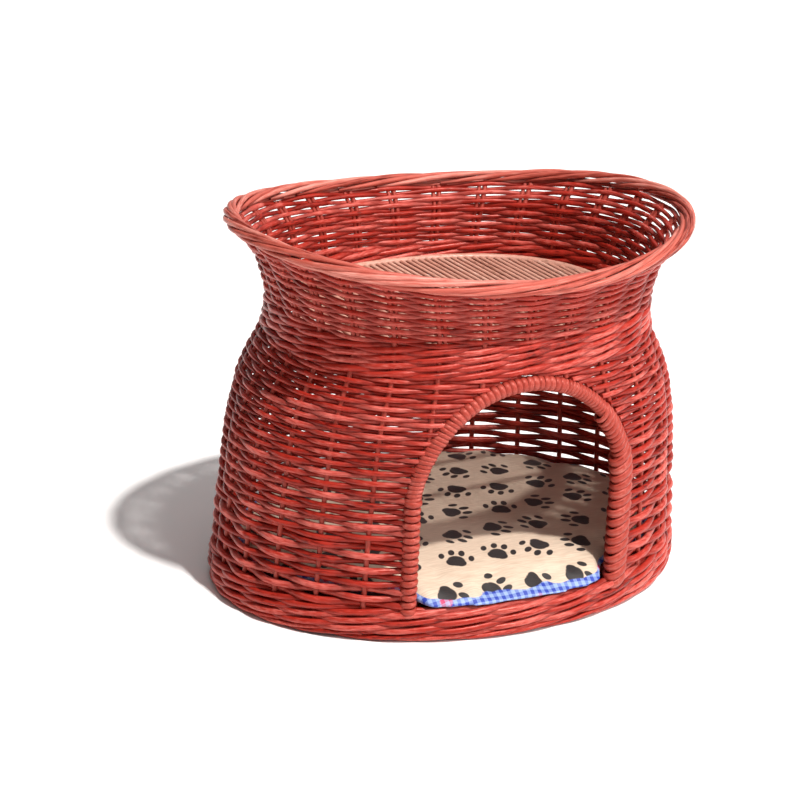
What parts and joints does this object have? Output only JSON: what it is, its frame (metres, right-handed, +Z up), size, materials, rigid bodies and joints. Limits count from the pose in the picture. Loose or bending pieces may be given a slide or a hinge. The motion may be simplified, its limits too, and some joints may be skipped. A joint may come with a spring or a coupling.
{
  "type": "wicker pet bed basket",
  "caption": "Two-storey oval wicker pet bed: a woven cave with an arched doorway and loose cushion, under a flared tray with a slatted floor.",
  "frame": {"origin": "centre of the foot, on the ground", "axes": "+X runs along the long axis of the oval, the doorway faces -Y, +Z points up"},
  "size_m": [0.54, 0.39, 0.419],
  "materials": {
    "dyed_willow": "peeled willow rods dyed brick red, glossy",
    "natural_wood": "bare round wood rods, satin",
    "printed_cotton": "beige cotton satin with dark paw prints",
    "checked_cotton": "blue and white checked cotton",
    "wadding": "loose polyester wadding"
  },
  "bodies": {
    "basket": {"foot_border": "dyed_willow", "foot_waling": "dyed_willow", "cave_weave_lower": "dyed_willow", "cave_weave_middle": "dyed_willow", "cave_weave_upper": "dyed_willow", "waist_waling": "dyed_willow", "tray_weave": "dyed_willow", "rim_border": "dyed_willow", "left_stakes": "dyed_willow", "right_stakes": "dyed_willow", "back_stakes": "dyed_willow", "arch_stakes": "dyed_willow", "bye_stakes": "dyed_willow", "door_hoop": "dyed_willow", "door_lashing": "dyed_willow", "door_edge_left": "dyed_willow", "door_edge_right": "dyed_willow", "floor_hoop": "dyed_willow", "floor_cross_sticks": "dyed_willow", "floor_rods": "dyed_willow", "tray_hoop": "natural_wood", "tray_bearers": "natural_wood", "tray_slats": "natural_wood"},
    "cushion": {"cushion_top_cover": "printed_cotton", "cushion_bottom_cover": "checked_cotton", "cushion_filling": "wadding"}
  },
  "joints": [
    {"name": "cushion_lift", "type": "slide", "parent": "basket", "child": "cushion", "axis": [0, 0, 1], "range_m": [0, 0.08]}
  ]
}
